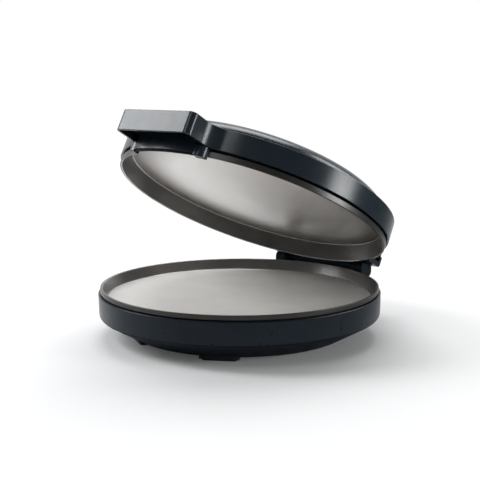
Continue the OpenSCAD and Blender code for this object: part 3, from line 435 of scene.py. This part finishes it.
def clean_mesh(name, verts, faces, smooth):
    """A mesh from metre points, with double points merged and its faces turned outward."""
    mesh = bpy.data.meshes.new(name)
    mesh.from_pydata([tuple(v) for v in verts], [], faces)
    work = bmesh.new()
    work.from_mesh(mesh)
    bmesh.ops.remove_doubles(work, verts=work.verts, dist=MERGE_M)
    bmesh.ops.recalc_face_normals(work, faces=work.faces)
    for face in work.faces:
        face.smooth = smooth
    work.to_mesh(mesh)
    work.free()
    return mesh


def piece(name, verts, faces, slot, body):
    """Makes a mesh piece, smooth except at sharp edges, that rides on a body."""
    mesh = clean_mesh(name, verts, faces, smooth=True)
    mesh.set_sharp_from_angle(angle=SHARP_ANGLE)
    mesh.materials.append(MATERIALS[slot])
    obj = add_object(name, mesh)
    weighted = obj.modifiers.new("normals", "WEIGHTED_NORMAL")
    weighted.keep_sharp = True
    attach(obj, body)
    return obj


def rounded(path, steps=5):
    """The points (x, y) of a path of (x, y) or (x, y, radius), with each given radius turned into an arc."""
    out = []
    for i, corner in enumerate(path):
        x, y = corner[0], corner[1]
        radius = corner[2] if len(corner) > 2 else 0.0
        if radius <= 0 or i in (0, len(path) - 1):
            out.append((x, y))
            continue
        here = Vector((x, y))
        a = (Vector(path[i - 1][:2]) - here).normalized()
        b = (Vector(path[i + 1][:2]) - here).normalized()
        half = math.acos(max(-1.0, min(1.0, a.dot(b)))) / 2
        run = radius / math.tan(half)
        centre = here + (a + b).normalized() * (radius / math.sin(half))
        start, end = here + a * run - centre, here + b * run - centre
        turn = math.atan2(start.x * end.y - start.y * end.x, start.dot(end))
        for k in range(steps + 1):
            t = turn * k / steps
            out.append((centre.x + start.x * math.cos(t) - start.y * math.sin(t),
                        centre.y + start.x * math.sin(t) + start.y * math.cos(t)))
    return out


def revolve(profile, place, segments, start=0.0, end=360.0):
    """Vertices and faces of a profile of (radius, height) turned about the Z axis."""
    whole = abs(end - start) >= 360
    count = segments if whole else segments + 1
    verts, rows = [], []
    for r, z in profile:
        if r < 1e-6:
            rows.append([len(verts)] * count)
            verts.append(place((0, 0, z)))
            continue
        rows.append(list(range(len(verts), len(verts) + count)))
        for i in range(count):
            a = math.radians(start + (end - start) * i / segments)
            verts.append(place((r * math.cos(a), r * math.sin(a), z)))
    faces = []
    for low, high in zip(rows, rows[1:]):
        for i in range(segments):
            j = (i + 1) % count
            quad = [low[i], low[j], high[j], high[i]]
            face = [v for k, v in enumerate(quad) if v not in quad[:k]]
            if len(face) > 2:
                faces.append(face)
    return verts, faces


def joined(*meshes):
    """Vertices and faces of several meshes in one."""
    verts, faces = [], []
    for more_verts, more_faces in meshes:
        base = len(verts)
        verts += more_verts
        faces += [[base + i for i in face] for face in more_faces]
    return verts, faces


def loft(loops, caps=False):
    """Vertices and faces between closed loops that have the same number of points."""
    count = len(loops[0])
    verts = [p for loop in loops for p in loop]
    faces = []
    for k in range(len(loops) - 1):
        for i in range(count):
            j = (i + 1) % count
            faces.append([k * count + i, k * count + j, (k + 1) * count + j, (k + 1) * count + i])
    if caps:
        faces.append(list(range(count))[::-1])
        faces.append([(len(loops) - 1) * count + i for i in range(count)])
    return verts, faces


def arc(cx, cy, r, a0, a1, steps):
    """Points on an arc between two angles in degrees."""
    turns = [math.radians(a0 + (a1 - a0) * i / steps) for i in range(steps + 1)]
    return [(cx + r * math.cos(t), cy + r * math.sin(t)) for t in turns]


def prism(profile, x0, x1, edge, place):
    """A YZ profile carried along X with rounded side edges. profile(d, x) is it at x, moved in by d."""
    steps = 4
    turns = [math.pi / 2 * k / steps for k in range(steps + 1)]
    rows = [(x0 + edge * (1 - math.cos(t)), edge * (1 - math.sin(t))) for t in turns]
    rows += [(x1 - edge * (1 - math.sin(t)), edge * (1 - math.cos(t))) for t in turns]
    return loft([[place((x, y, z)) for y, z in profile(d, x)] for x, d in rows], caps=True)


# ---------- base casing ----------

FACING_DOWN = -0.35


def ear(d, x):
    """Side view of a hinge ear. Below the casing's top edge it reaches into the round wall."""
    root = math.sqrt((BODY_R - BASE_WALL / 2) ** 2 - x ** 2)
    front, rear, heel = EAR_FRONT_ROUND, EAR_BACK_ROUND, EAR_HEEL_ROUND
    return ([(root, EAR_ROOT + d), (root, EAR_SEAT), (EAR_FRONT + d, EAR_SEAT)]
            + arc(EAR_FRONT + front, EAR_TOP - front, front - d, 180, 90, 8)
            + arc(EAR_BACK - rear, EAR_TOP - rear, rear - d, 90, 0, 8)
            + arc(EAR_BACK - heel, EAR_LOW + heel, heel - d, 0, EAR_HEEL_TURN, 8))


def cut_pocket(obj, angle):
    """Cuts the pocket under one post of the lower plate into the casing's floor."""
    a = math.radians(angle)
    x, y = POST_AT * math.cos(a), POST_AT * math.sin(a)
    pocket = [(0.0, POCKET_TOP), (POCKET_R, POCKET_TOP), (POCKET_R, POCKET_LOW), (0.0, POCKET_LOW)]
    verts, faces = revolve(pocket, lambda p: on_base((p[0] + x, p[1] + y, p[2])), 48)
    cutter = add_object("cutter", clean_mesh("cutter", verts, faces, smooth=False))
    cut = obj.modifiers.new("pocket", "BOOLEAN")
    cut.operation = "DIFFERENCE"
    cut.object = cutter
    bpy.context.view_layer.update()
    evaluated = obj.evaluated_get(bpy.context.evaluated_depsgraph_get())
    cut_mesh = bpy.data.meshes.new_from_object(evaluated)
    obj.modifiers.remove(cut)
    obj.data = cut_mesh
    bpy.data.objects.remove(cutter)


casing_line = rounded([
    (COVER_R - LAP_IN, UNDERSIDE + COVER_T + BASE_FLOOR_T), (COVER_R - LAP_IN, UNDERSIDE + COVER_T),
    (COVER_R + COVER_GAP, UNDERSIDE + COVER_T), (COVER_R + COVER_GAP, UNDERSIDE, FINE_EDGE),
    (BELLY_FOOT_R, UNDERSIDE, BELLY_FOOT_FILLET), (BODY_R - WALL_DRAFT, WALL_FOOT, BELLY_FILLET),
    (SHELL_R, BASE_TOP, CASING_EDGE), (BODY_R - LEDGE_IN, BASE_TOP, FINE_EDGE),
    (BODY_R - LEDGE_IN, BASE_TOP - LEDGE_T), (BODY_R - BASE_WALL, BASE_TOP - LEDGE_T),
    (BODY_R - BASE_WALL - WALL_DRAFT, WALL_FOOT + INNER_FOOT_RISE),
    (BELLY_FOOT_R - BASE_FLOOR_IN, UNDERSIDE + BASE_FLOOR_T), (COVER_R + LAP_OUT, UNDERSIDE + BASE_FLOOR_T),
    (COVER_R + LAP_OUT, UNDERSIDE + COVER_T + BASE_FLOOR_T),
    (COVER_R - LAP_IN, UNDERSIDE + COVER_T + BASE_FLOOR_T)], 8)
casing = piece("base_shell", *revolve(casing_line, on_base, TURNED_STEPS), "casing", "base")
# Downward faces of the casing take that copy: a rougher finish, and painted shade on the belly where it
# turns away from the light.
casing.data.materials.append(PAINTED_SHADE_MATT)
for face in casing.data.polygons:
    if face.normal.z < FACING_DOWN:
        face.material_index = 1
for angle in POST_ANGLES:
    cut_pocket(casing, angle)

for name, x0 in (("ear_left", -EAR_IN - EAR_W), ("ear_right", EAR_IN)):
    piece(name, *prism(ear, x0, x0 + EAR_W, EDGE, on_base), "casing", "base")
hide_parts("base_casing")


# ---------- cooking plates ----------

LEVEL_M = 0.0001
FLAT = 0.999
LEAN_MARGIN = 0.02
WALL_MARGIN = 0.6


def plate_line(depth, lip):
    """Profile of a plate from the middle of its floor over the rim to the middle of its back."""
    return rounded([
        (0.0, -depth), (FLOOR_RING_R, -depth), (FOOT_R, -depth, PLATE_FOOT_FILLET),
        (MOUTH_R, 0.0, MOUTH_FILLET), (RIM_R, 0.0, RIM_EDGE), (RIM_R, -lip, FINE_EDGE),
        (RIM_R - RIM_LAND - LIP_LAND, -lip, LIP_EDGE), (FLOOR_R + PLATE_BACK_OUT, -depth + 1.0),
        (FLOOR_R + PLATE_BACK_IN, -depth - FLOOR_T, 1.0), (0.0, -depth - FLOOR_T)], 6)


def finish_plate(plate, place, rim_z, floor_z, floor_finish):
    """Light satin floor, darker turned wall, and a fine bright line at the wall's foot and top."""
    for finish in (floor_finish, PLATE_WALL, PLATE_EDGE):
        plate.data.materials.append(finish)
    centre = place((0, 0, floor_z))
    out = (place((0, 0, rim_z)) - centre).normalized()
    wall_lean = (MOUTH_R - FOOT_R) / math.hypot(MOUTH_R - FOOT_R, rim_z - floor_z)
    for face in plate.data.polygons:
        offset = face.center - centre
        rise = offset.dot(out)
        radial = offset - out * rise
        if rise < -LEVEL_M or radial.length > (RIM_R - RIM_LAND + WALL_MARGIN) / 1000:
            continue
        lean = face.normal.dot(out)
        if lean > FLAT and rise < LEVEL_M:
            face.material_index = 1
        elif lean > 0 and face.normal.dot(radial) < 0:
            face.material_index = 2 if lean < wall_lean + LEAN_MARGIN else 3


lower_line = [(r, RIM_Z + z) for r, z in plate_line(LOWER_DEPTH, LOWER_LIP)]
upper_line = [(r, LID_RIM_Z - z) for r, z in plate_line(UPPER_DEPTH, UPPER_LIP)]
lower = piece("lower_cooking_plate", *revolve(lower_line, on_base, TURNED_STEPS), "plate", "base")
upper = piece("upper_cooking_plate", *revolve(upper_line, on_lid, TURNED_STEPS), "plate", "lid")
finish_plate(lower, on_base, RIM_Z, RIM_Z - LOWER_DEPTH, LOWER_FLOOR)
finish_plate(upper, on_lid, LID_RIM_Z, LID_RIM_Z + UPPER_DEPTH, UPPER_FLOOR)
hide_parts("lower_plate")
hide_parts("upper_plate")


# ---------- lid shell with its handle and hinge block ----------

FLAT_POINTS = (0.3, 0.6)
CORNER_STEPS = 10
BLEND_STEPS = 12
ROUND_STEPS = 150
BLOCK_BLEND_POINTS = 4
BACK_START = (1 + len(FLAT_POINTS) + CORNER_STEPS + 1 + BLEND_STEPS + 1
              + ROUND_STEPS - 1 + BLOCK_BLEND_POINTS)
SKIRT_EDGE_H = 6.0
SKIRT_BACK_R = BODY_R - 0.05
FRONT_WALL_TURN = 21.5
REAR_WALL_TURN = 30.0


def half_outline(d):
    """Right half of the lid's plan outline moved in by d, from the front middle to the back middle."""
    wall_r = SHELL_R - d
    swell = HANDLE_SWELL * max(0.0, 1 - d / LID_WALL)
    half, reach = HANDLE_HALF + swell - d, HANDLE_REACH - d
    blend, corner = HANDLE_BLEND + d, HANDLE_CORNER - d
    blend_y = math.sqrt((wall_r + blend) ** 2 - (half + blend) ** 2)
    out = [(0.0, -reach)] + [(half * k, -reach) for k in FLAT_POINTS]
    out += arc(half - corner, corner - reach, corner, -90, 0, CORNER_STEPS)
    out += arc(half + blend, -blend_y, blend, 180,
               math.degrees(math.atan2(blend_y, -(half + blend))), BLEND_STEPS)
    first = math.degrees(math.atan2(-blend_y, half + blend))
    half, reach = BLOCK_HALF - d, BLOCK_REACH - d
    blend, corner = BLOCK_BLEND + d, BLOCK_CORNER - d
    blend_y = math.sqrt((wall_r + blend) ** 2 - (half + blend) ** 2)
    last = math.degrees(math.atan2(blend_y, half + blend))
    out += arc(0.0, 0.0, wall_r, first, last, ROUND_STEPS)[1:-1]
    out += arc(half + blend, blend_y, blend, 180.0 + last, 180.0, BLEND_STEPS)
    out += arc(half - corner, reach - corner, corner, 0, 90, CORNER_STEPS)
    return out + [(half * k, reach) for k in FLAT_POINTS[::-1]] + [(0.0, reach)]


def outline(d):
    half = half_outline(d)
    return half + [(-x, y) for x, y in half[-2:0:-1]]


def shell_loop(d, z):
    """The outline moved in by d at a height. The hinge block stops a little above the skirt's lower edge."""
    points = outline(d)
    lift = BLOCK_LOW - SKIRT_Z if z < SKIRT_Z + SKIRT_EDGE_H else 0.0
    on_block = [min(i, len(points) - i) >= BACK_START for i in range(len(points))]
    return [on_lid((x, y, z + lift if block else z)) for (x, y), block in zip(points, on_block)]


def ring_loop(r, z):
    """A circle with a point on the bearing of each point of the outline."""
    bearings = [math.atan2(y, x) for x, y in outline(LID_EDGE_RUN)]
    return [on_lid((r * math.cos(a), r * math.sin(a), z)) for a in bearings]


def cheek(d, _):
    """Side view of the hinge block's cheek, the same at every x."""
    return ([(CHEEK_FRONT + d, CHEEK_TOP)]
            + arc(CHEEK_FRONT + CHEEK_ROUND, CHEEK_LOW + CHEEK_ROUND, CHEEK_ROUND - d, 180, 270, 8)
            + arc(BLOCK_REACH - CHEEK_ROUND, CHEEK_LOW + CHEEK_ROUND, CHEEK_ROUND - d, 270, 360, 8)
            + [(BLOCK_REACH - d, CHEEK_TOP)])


shell_rows = rounded([
    (LID_WALL, LID_TOP - LID_WALL), (LID_WALL, SKIRT_Z, SKIRT_INNER_EDGE), (0.0, SKIRT_Z, SKIRT_OUTER_EDGE),
    (0.0, LID_TOP, LID_EDGE), (LID_EDGE_RUN, LID_TOP)], 5)
ring_rows = [(SEAT_R + FINE_EDGE, LID_TOP), (SEAT_R + FINE_EDGE * 0.3, LID_TOP - FINE_EDGE * 0.3),
             (SEAT_R, LID_TOP - FINE_EDGE), (SEAT_R, SHELF_Z), (SHELF_R, SHELF_Z)]
shell = loft([shell_loop(d, z) for d, z in shell_rows] + [ring_loop(r, z) for r, z in ring_rows])
# The round wall goes on behind the handle and in front of the hinge block.
inner_wall = rounded([
    (BODY_R - LID_WALL, SHELF_Z - SHELF_T), (BODY_R - LID_WALL, SKIRT_Z, SKIRT_INNER_EDGE),
    (SKIRT_BACK_R, SKIRT_Z, SKIRT_OUTER_EDGE), (SKIRT_BACK_R, SHELF_Z)], 4)
front_wall = revolve(inner_wall, on_lid, 48, 270 - FRONT_WALL_TURN, 270 + FRONT_WALL_TURN)
rear_wall = revolve(inner_wall, on_lid, 60, 90 - REAR_WALL_TURN, 90 + REAR_WALL_TURN)
cheeks = [prism(cheek, x0, x0 + CHEEK_W, EDGE, on_lid) for x0 in (BLOCK_HALF - CHEEK_W, -BLOCK_HALF)]
lid = piece("lid_shell", *joined(shell, front_wall, rear_wall, *cheeks), "lid", "lid")
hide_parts("lid_ring")


# ---------- dome ----------

FLANK_STEPS = 24
CROWN_STEPS = 10
DOME_IN_R = DOME_R - 2.4
DOME_UNDER_Z = SHELF_Z + 0.1
DOME_SEAT_FILLET = 0.3
DOME_FOOT_EDGE = 0.25
DOME_FOOT_RISE = 0.6


def dome_line():
    """The dome's flank, a quarter of an ellipse, and its slightly crowned top."""
    crown_r = DOME_R - DOME_RUN
    turns = [math.pi / 2 * i / FLANK_STEPS for i in range(FLANK_STEPS + 1)]
    flank = [(crown_r + DOME_RUN * math.cos(t), LID_TOP + DOME_H * math.sin(t)) for t in turns]
    shares = [1 - i / CROWN_STEPS for i in range(1, CROWN_STEPS + 1)]
    return flank + [(crown_r * k, LID_TOP + DOME_H + DOME_CROWN * (1 - k ** 2)) for k in shares]


dome_rows = rounded([
    (DOME_IN_R, DOME_UNDER_Z), (DOME_FOOT_R, DOME_UNDER_Z), (DOME_FOOT_R, LID_TOP, DOME_SEAT_FILLET),
    (DOME_R, LID_TOP, DOME_FOOT_EDGE), (DOME_R, LID_TOP + DOME_FOOT_RISE)], 4)[:-1] + dome_line()
dome = piece("dome_shell", *revolve(dome_rows, on_lid, TURNED_STEPS), "dome", "lid")
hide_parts("lid_dome")


# ---------- finger guard ----------

GUARD_STEPS = 24


def across(half):
    return [-half + 2 * half * i / GUARD_STEPS for i in range(GUARD_STEPS + 1)]


def guard_front(x, d=0.0):
    """Front of the guard's wall, a little crowned in plan."""
    return d - GUARD_REACH + x * x / (2 * GUARD_PLAN_R)


def guard_wall(d):
    """Plan of the guard's wall."""
    xs = across(GUARD_HALF - d)
    return [(x, guard_front(x, d)) for x in xs] + [(x, guard_front(x) + GUARD_T - d) for x in xs[::-1]]


def guard_shade_strip(d):
    """Plan of a dark strip behind the guard's lower edge, painted shade for the shadowed gap under the
    guard.
    """
    xs = across(POST_IN - d)
    return ([(x, guard_front(x) + GUARD_T - GUARD_LIP_SUNK + d) for x in xs]
            + [(x, guard_front(x) + GUARD_T + GUARD_LIP_T - d) for x in xs[::-1]])


def right_post(d):
    """Plan of the right post: a rounded corner in front and the curve of the lid behind."""
    front = guard_front(POST_IN, d)
    corner = arc(POST_OUT - POST_CORNER, front - d + POST_CORNER, POST_CORNER - d, -90, 0, 10)
    under = GUARD_UNDER_R + d
    xs = [POST_OUT - d - (POST_OUT - POST_IN - 2 * d) * i / 6 for i in range(7)]
    return [(POST_IN + d, front)] + corner + [(x, -math.sqrt(under ** 2 - x ** 2)) for x in xs]


def left_post(d):
    return [(-x, y) for x, y in right_post(d)]


def hanging(plan, low, high, edge):
    """A plan outline between two heights, with its lower edge rounded. plan(d) is it moved in by d."""
    steps = 5
    turns = [math.pi / 2 * k / steps for k in range(steps + 1)]
    rows = [(edge * (1 - math.sin(t)), low + edge * (1 - math.cos(t))) for t in turns] + [(0.0, high)]
    return loft([[on_lid((x, y, z)) for x, y in plan(d)] for d, z in rows], caps=True)


wall = hanging(guard_wall, SKIRT_Z - GUARD_DROP, GUARD_TOP, GUARD_EDGE)
lip = hanging(guard_shade_strip, SKIRT_Z - GUARD_DROP - GUARD_LIP, GUARD_LIP_TOP, GUARD_LIP_EDGE)
posts = [hanging(post, SKIRT_Z - POST_DROP, POST_TOP, POST_EDGE) for post in (right_post, left_post)]
guard = piece("guard", *joined(wall, *posts, lip), "lid", "lid")
# The strip behind the guard's lower edge takes the darker matt copy: painted shade where the gap under the
# guard lies in shadow.
guard.data.materials.append(PAINTED_SHADE_MATT)
for face in guard.data.polygons[-len(lip[1]):]:
    face.material_index = 1
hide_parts("finger_guard")


# ---------- floor and backdrop ----------

WHITE_SIDE = (-0.74, 0.67, 0.0)
WHITE_TURN = (0.25, 0.85)
WHITE_SPAN = (0.06, 0.80)
LIT_CENTRE = (-0.03, -0.09, 0.0)
LIT_SPAN = (0.18, 0.58)
LIFT = 0.05
PAPER = (0.82, 0.82, 0.82)
FAR_PAPER = (0.05, 0.05, 0.05)
ROOM = 0.20
FLOOR_HALF = 9.0


def seen_or_mirrored(tree):
    """Two masks: 1 for camera rays, and 1 for camera, glossy and transmission rays."""
    path = tree.nodes.new("ShaderNodeLightPath").outputs
    total = math_node(tree, "ADD", path["Is Camera Ray"], path["Is Glossy Ray"])
    return path["Is Camera Ray"], math_node(tree, "ADD", total, path["Is Transmission Ray"])


def white_side(tree, direction):
    """How white a direction looks in a mirror: bright behind and to the left, dim elsewhere."""
    return map_range(tree, vector_node(tree, "DOT_PRODUCT", direction, WHITE_SIDE), WHITE_TURN, WHITE_SPAN)


def shown_white(tree, direction):
    """Full white to the camera and white_side to mirrors, with the mask of both."""
    camera_ray, seen = seen_or_mirrored(tree)
    mirrored = math_node(tree, "MULTIPLY", seen, white_side(tree, direction))
    return math_node(tree, "MAXIMUM", camera_ray, mirrored), seen


def floor_material():
    """Pale paper round the object. Away from it the lit paper gives way to plain white."""
    n = Nodes("floor")
    n.set(Roughness=0.9, Specular_IOR_Level=0.0, Emission_Color=(1, 1, 1, 1))
    away = vector_node(n.tree, "DISTANCE", n.object, LIT_CENTRE)
    n.link(n.ramp(map_range(n.tree, away, LIT_SPAN), (0.0, PAPER), (1.0, FAR_PAPER)), "Base Color")
    shown, _ = shown_white(n.tree, vector_node(n.tree, "NORMALIZE", n.object, output="Vector"))
    lift = map_range(n.tree, away, LIT_SPAN, (LIFT, 1.0))
    n.link(math_node(n.tree, "MULTIPLY", shown, lift), "Emission Strength")
    return n.mat


floor_mesh = bpy.data.meshes.new("floor")
floor_mesh.from_pydata([(-FLOOR_HALF, -FLOOR_HALF, 0), (FLOOR_HALF, -FLOOR_HALF, 0),
                        (FLOOR_HALF, FLOOR_HALF, 0), (-FLOOR_HALF, FLOOR_HALF, 0)], [], [(0, 1, 2, 3)])
floor_mesh.materials.append(floor_material())
floor = add_object("floor", floor_mesh)

# The world is white to the camera. Mirrors see that white behind and to the left of the object, and matt
# surfaces are lit by a dim room.
world = bpy.data.worlds.new("world")
world.use_nodes = True
tree = world.node_tree
background = tree.nodes["Background"]
background.inputs["Color"].default_value = (1, 1, 1, 1)
shown, seen = shown_white(tree, tree.nodes.new("ShaderNodeTexCoord").outputs["Generated"])
room = math_node(tree, "MULTIPLY", math_node(tree, "SUBTRACT", 1.0, seen), ROOM)
tree.links.new(math_node(tree, "ADD", room, shown), background.inputs["Strength"])
bpy.context.scene.world = world


# ---------- studio light ----------

DAYLIGHT = (0.975, 0.99, 1.0)
AIM = Vector((0.0, 0.0, 0.12))


def softbox(name, azimuth, elevation, distance, width, height, radiance):
    """An area lamp of a given radiance, seen from the object at an azimuth and elevation."""
    a, e = math.radians(azimuth), math.radians(elevation)
    toward = Vector((math.sin(a) * math.cos(e), -math.cos(a) * math.cos(e), math.sin(e)))
    data = bpy.data.lights.new(name, "AREA")
    data.shape = "RECTANGLE"
    data.size, data.size_y = width, height
    data.energy = radiance * math.pi * width * height
    data.color = DAYLIGHT
    lamp = add_object(name, data)
    lamp.location = AIM + toward * distance
    lamp.rotation_euler = toward.to_track_quat("Z", "Y").to_euler()
    return lamp


softbox("key_left", -60.0, 34.0, 2.2, 0.75, 1.25, 11.4)
softbox("strip_right", 110.0, 9.0, 2.4, 0.76, 0.60, 16.0)
softbox("front_high", 4.0, 47.0, 2.4, 0.80, 0.45, 4.0)
softbox("overhead_back", 216.0, 62.0, 2.3, 1.9, 1.2, 6.0)
# This one shows in the dome's flank and lights no matt surface.
dome_light = softbox("dome_light", 146.0, 33.0, 2.5, 1.1, 1.4, 8.0)
dome_light.visible_diffuse = False
